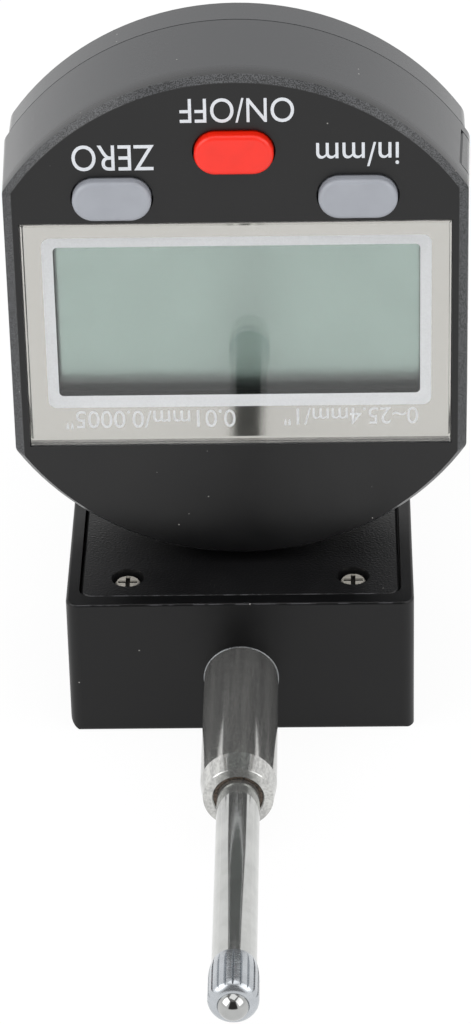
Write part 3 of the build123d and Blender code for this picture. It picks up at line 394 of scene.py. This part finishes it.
# ---- the print behind the window ----------------------------------------------------------
def rounded_outline(low_x, high_x, low_z, high_z, radius):
    """Corner points of a rounded rectangle in the display's plane, anticlockwise from +X."""
    steps = 8                        # on each corner
    centres = [(high_x - radius, high_z - radius), (low_x + radius, high_z - radius),
               (low_x + radius, low_z + radius), (high_x - radius, low_z + radius)]
    outline = []
    for quarter, (centre_x, centre_z) in enumerate(centres):
        for i in range(steps + 1):
            turn = (quarter + i / steps) * pi / 2
            outline.append((centre_x + radius * cos(turn), centre_z + radius * sin(turn)))
    return outline


def printed_sheet(name, outlines, materials, y, thickness, body):
    """Flat ink layers: rings between outlines, from the outside in, each in its own ink. A
    single outline is filled."""
    mesh = bmesh.new()
    rings = [[mesh.verts.new((x, y, z)) for x, z in outline] for outline in outlines]
    for layer, (outer, inner) in enumerate(zip(rings, rings[1:])):
        for i in range(len(outer)):
            j = (i + 1) % len(outer)
            face = mesh.faces.new((outer[i], inner[i], inner[j], outer[j]))
            face.material_index = layer
    if len(rings) == 1:
        mesh.faces.new(rings[0])
    bmesh.ops.recalc_face_normals(mesh, faces=mesh.faces)
    if mesh.faces[0].normal.y > 0:
        bmesh.ops.reverse_faces(mesh, faces=mesh.faces)
    across = mesh.loops.layers.uv.new("brushing")
    for face in mesh.faces:
        for corner in face.loops:
            corner[across].uv = (corner.vert.co.z / MM, corner.vert.co.x / MM)
    data = bpy.data.meshes.new(name)
    mesh.to_mesh(data)
    mesh.free()
    sheet = bpy.data.objects.new(name, data)
    bpy.context.collection.objects.link(sheet)
    for ink in materials:
        data.materials.append(ink)
    shell = sheet.modifiers.new("thickness", "SOLIDIFY")
    shell.thickness = thickness
    shell.offset = -1
    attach(sheet, body)
    return sheet


silver = silver_print()
frame_white = white_ink("white_frame_ink", "#fbfdff")
text_white = white_ink("white_text_ink", "#cdd0d5")

layer_thickness = 0.02 * MM      # of the print and of the film
ink_margin = 0.03 * MM           # silver print inside the window's edge
ink_corner = 0.05 * MM
frame_half_width = 20.35 * MM
frame_top, frame_bottom = 10.12 * MM, -10.2 * MM
frame_corner = 0.9 * MM
view_half_width = 19.17 * MM
view_top, view_bottom = 9.05 * MM, -8.75 * MM
view_corner = 0.5 * MM
ink_y = lens_high.y - 0.06 * MM
print_outlines = [
    rounded_outline(lens_low.x + ink_margin, lens_high.x - ink_margin, lens_low.z + ink_margin,
                    lens_high.z - ink_margin, ink_corner),
    rounded_outline(head_x - frame_half_width, head_x + frame_half_width, head_z + frame_bottom,
                    head_z + frame_top, frame_corner),
    rounded_outline(head_x - view_half_width, head_x + view_half_width, head_z + view_bottom,
                    head_z + view_top, view_corner),
]
window_print = printed_sheet("window_print", print_outlines, [silver, frame_white], ink_y,
                             layer_thickness, "head")

panel_low, panel_high = (Vector(c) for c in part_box("lcd_panel"))
film_margin = 0.1 * MM
film_y = panel_high.y - 0.35 * MM
film_outline = rounded_outline(panel_low.x + film_margin, panel_high.x - film_margin,
                               panel_low.z + film_margin, panel_high.z - film_margin, film_margin)
diffuser_film = printed_sheet("diffuser_film", [film_outline], [silvered_diffuser()], film_y,
                              layer_thickness, "head")


# ---- painted highlight round the stem's root ----------------------------------------------
def stem_root_highlight():
    """Fine ring of bright metal where the stem leaves the end face: a painted highlight, standing
    in for the light caught by the hole's small chamfer."""
    steps_round, steps_section = 72, 8
    highlight_tube_radius = 0.035 * MM
    stem_low, stem_high = (Vector(c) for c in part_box("stem"))
    centre_x, centre_z = (stem_low.x + stem_high.x) / 2, (stem_low.z + stem_high.z) / 2
    ring_radius = (stem_high.x - stem_low.x) / 2 + highlight_tube_radius
    mesh = bmesh.new()
    rings = []
    for i in range(steps_round):
        turn = 2 * pi * i / steps_round
        ring = []
        for k in range(steps_section):
            lean = 2 * pi * k / steps_section
            reach = ring_radius + highlight_tube_radius * cos(lean)
            ring.append(mesh.verts.new((centre_x + reach * cos(turn), housing_low.y + highlight_tube_radius * sin(lean),
                                        centre_z + reach * sin(turn))))
        rings.append(ring)
    for i in range(steps_round):
        for k in range(steps_section):
            after, across = (i + 1) % steps_round, (k + 1) % steps_section
            mesh.faces.new((rings[i][k], rings[i][across], rings[after][across], rings[after][k]))
    bmesh.ops.recalc_face_normals(mesh, faces=mesh.faces)
    data = bpy.data.meshes.new("stem_root_highlight_ring")
    mesh.to_mesh(data)
    mesh.free()
    data.materials.append(pressed_steel)
    highlight_ring = bpy.data.objects.new("stem_root_highlight_ring", data)
    bpy.context.collection.objects.link(highlight_ring)
    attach(highlight_ring, "base")


# painted highlight: a ring of bright metal round the stem's root
stem_root_highlight()


# ---- lettering ----------------------------------------------------------------------------
def lettering(name, words, ink, y, centre_x, centre_v, width, height):
    """Screen-printed words on the head, read from the contact's end: they run towards -X and
    stand towards -Z. The centre is measured from the head's, and width and height are the
    ink's own."""
    curve = bpy.data.curves.new(name, "FONT")
    curve.body = words
    curve.size = 1.0
    curve.resolution_u = 6
    text = bpy.data.objects.new(name, curve)
    bpy.context.collection.objects.link(text)
    bpy.context.view_layer.update()
    evaluated = text.evaluated_get(bpy.context.evaluated_depsgraph_get())
    data = bpy.data.meshes.new_from_object(evaluated)
    bpy.data.objects.remove(text)
    xs = [v.co.x for v in data.vertices]
    ys = [v.co.y for v in data.vertices]
    across = width / (max(xs) - min(xs))
    up = height / (max(ys) - min(ys))
    middle = Vector(((max(xs) + min(xs)) / 2, (max(ys) + min(ys)) / 2, 0))
    for v in data.vertices:
        local = v.co - middle
        v.co = (head_x + centre_x - local.x * across, y, head_z + centre_v - local.y * up)
    if sum(p.normal.y * p.area for p in data.polygons) > 0:
        data.flip_normals()
    data.materials.clear()
    data.materials.append(ink)
    words_piece = bpy.data.objects.new(name, data)
    bpy.context.collection.objects.link(words_piece)
    film = words_piece.modifiers.new("thickness", "SOLIDIFY")
    film.thickness = caption_thickness
    film.offset = 0
    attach(words_piece, "head")


caption_thickness = 0.015 * MM
face_ink_y = face_y - 0.01 * MM
window_ink_y = ink_y - 0.02 * MM
captions = [  # name, words, ink, place along Y, then centre_x, centre_v, width and height in mm
    ("label_power", "ON/OFF", text_white, face_ink_y, (0.4, 24.95, 11.7, 2.76)),
    ("label_zero", "ZERO", text_white, face_ink_y, (-12.45, 19.7, 8.5, 2.95)),
    ("label_unit", "in/mm", text_white, face_ink_y, (12.7, 19.8, 8.5, 2.75)),
    ("label_step", "0.01mm/0.0005\"", frame_white, window_ink_y, (-9.52, -11.7, 18.05, 2.2)),
    ("label_range", "0~25.4mm/1\"", frame_white, window_ink_y, (11.83, -11.55, 14.26, 2.1)),
]
for label, words, ink, label_y, sizes_mm in captions:
    lettering(label, words, ink, label_y, *(size * MM for size in sizes_mm))


# ---- floor, light and camera --------------------------------------------------------------
def backdrop_floor():
    """Pale floor that stays white to the camera and in reflections, and keeps soft shadows."""
    half_width, gap_below = 3.0, 0.02 * MM
    glow_seen, glow_mirrored = 0.93, 0.65    # share of plain white, the rest takes shadows
    material = bpy.data.materials.new("pale_floor")
    material.use_nodes = True
    tree = material.node_tree
    tree.nodes.clear()
    matt = add(tree, "ShaderNodeBsdfDiffuse", {"Color": colour("#f4f4f4")})
    glow = add(tree, "ShaderNodeEmission", {"Color": (1, 1, 1, 1), "Strength": 1.0})
    rays = add(tree, "ShaderNodeLightPath").outputs
    seen = add(tree, "ShaderNodeMath", {0: rays["Is Camera Ray"], 1: rays["Is Glossy Ray"]},
               operation="MAXIMUM").outputs[0]
    seen = add(tree, "ShaderNodeMath", {0: seen, 1: rays["Is Transmission Ray"]},
               operation="MAXIMUM").outputs[0]
    share = between(tree, rays["Is Camera Ray"], glow_mirrored, glow_seen, span=whole_span)
    share = add(tree, "ShaderNodeMath", {0: seen, 1: share}, operation="MULTIPLY").outputs[0]
    mix = add(tree, "ShaderNodeMixShader", {0: share, 1: matt.outputs["BSDF"], 2: glow.outputs["Emission"]})
    add(tree, "ShaderNodeOutputMaterial", {"Surface": mix.outputs["Shader"]})
    data = bpy.data.meshes.new("floor")
    z = housing_low.z - gap_below
    data.from_pydata([(-half_width, -half_width, z), (half_width, -half_width, z),
                      (half_width, half_width, z), (-half_width, half_width, z)], [], [(0, 1, 2, 3)])
    data.materials.append(material)
    floor = bpy.data.objects.new("floor", data)
    bpy.context.collection.objects.link(floor)


def world_light():
    """White room whose mirror image is dimmer overhead and dark in front, where the reader
    stands. Its light is even, and to the camera it is plain white."""
    even_light = 0.85
    ceiling_span, ceiling_shade = (0.6, 0.85), 0.3
    reader_width, reader_edge = 0.7, (0.0, 0.12)     # of the dark place, to each side, for 1 ahead
    reader_foot, reader_top = (0.0, 0.1), (0.8, 0.9)
    reader_shade = 0.05
    soft = "SMOOTHSTEP"
    world = bpy.data.worlds.new("studio")
    bpy.context.scene.world = world
    world.use_nodes = True
    tree = world.node_tree
    tree.nodes.clear()
    direction = add(tree, "ShaderNodeTexCoord").outputs["Generated"]
    toward = add(tree, "ShaderNodeSeparateXYZ", {"Vector": direction}).outputs
    sideways = add(tree, "ShaderNodeMath", {0: toward["X"]}, operation="ABSOLUTE").outputs[0]
    ahead = add(tree, "ShaderNodeMath", {0: toward["Y"], 1: -reader_width}, operation="MULTIPLY").outputs[0]
    inside = add(tree, "ShaderNodeMath", {0: ahead, 1: sideways}, operation="SUBTRACT").outputs[0]
    front = between(tree, inside, 0.0, 1.0, span=reader_edge, course=soft)
    front = between(tree, toward["Z"], 0.0, front, span=reader_foot, course=soft)
    front = between(tree, toward["Z"], front, 0.0, span=reader_top, course=soft)
    ceiling = between(tree, toward["Z"], 1.0, ceiling_shade, span=ceiling_span, course=soft)
    mirrored = between(tree, front, ceiling, reader_shade, span=whole_span)
    rays = add(tree, "ShaderNodeLightPath").outputs
    seen = add(tree, "ShaderNodeMath", {0: rays["Is Glossy Ray"], 1: rays["Is Transmission Ray"]},
               operation="MAXIMUM").outputs[0]
    lit = between(tree, seen, even_light, mirrored, span=whole_span)
    strength = between(tree, rays["Is Camera Ray"], lit, 1.0, span=whole_span)
    room = add(tree, "ShaderNodeBackground", {"Color": (1, 1, 1, 1), "Strength": strength})
    add(tree, "ShaderNodeOutputWorld", {"Surface": room.outputs["Background"]})


lamp_distance = 0.95


def softbox(name, direction, size, glow):
    """Large square lamp in a direction from the part, which it faces; glow is its brightness as
    a share of white."""
    stand = Vector(direction).normalized() * lamp_distance
    lamp = bpy.data.lights.new(name, "AREA")
    lamp.shape = "SQUARE"
    lamp.size = size
    lamp.energy = glow * pi * size ** 2
    holder = bpy.data.objects.new(name, lamp)
    holder.location = stand
    holder.rotation_euler = (-stand).to_track_quat("-Z", "Y").to_euler()
    holder.visible_camera = False
    bpy.context.collection.objects.link(holder)


def display_camera():
    """Camera above and in front of the contact's end, looking down the spindle at the display."""
    camera = bpy.data.cameras.new("camera")
    camera.sensor_fit = "VERTICAL"
    camera.sensor_height = 36.0
    camera.lens = 147.66
    camera.clip_start = 0.01
    camera.clip_end = 20.0
    stand = Vector((10.278, -378.632, 251.905)) * MM
    back = Vector((0.0236, -0.85356, 0.52045)).normalized()
    nearly_right = Vector((0.99967, 0.01494, -0.02083))
    up = back.cross(nearly_right).normalized()
    right = up.cross(back)
    holder = bpy.data.objects.new("camera", camera)
    holder.matrix_world = Matrix.Translation(stand) @ Matrix((right, up, back)).transposed().to_4x4()
    bpy.context.collection.objects.link(holder)
    bpy.context.scene.camera = holder


backdrop_floor()
world_light()
softbox("left_box", (-0.74, -0.30, 0.60), size=0.75, glow=2.2)
softbox("right_box", (0.71, -0.30, 0.60), size=0.75, glow=1.6)
softbox("top_box", (0.03, 0.05, 1.0), size=0.7, glow=1.4)
display_camera()
bpy.context.scene.view_settings.view_transform = "Standard"
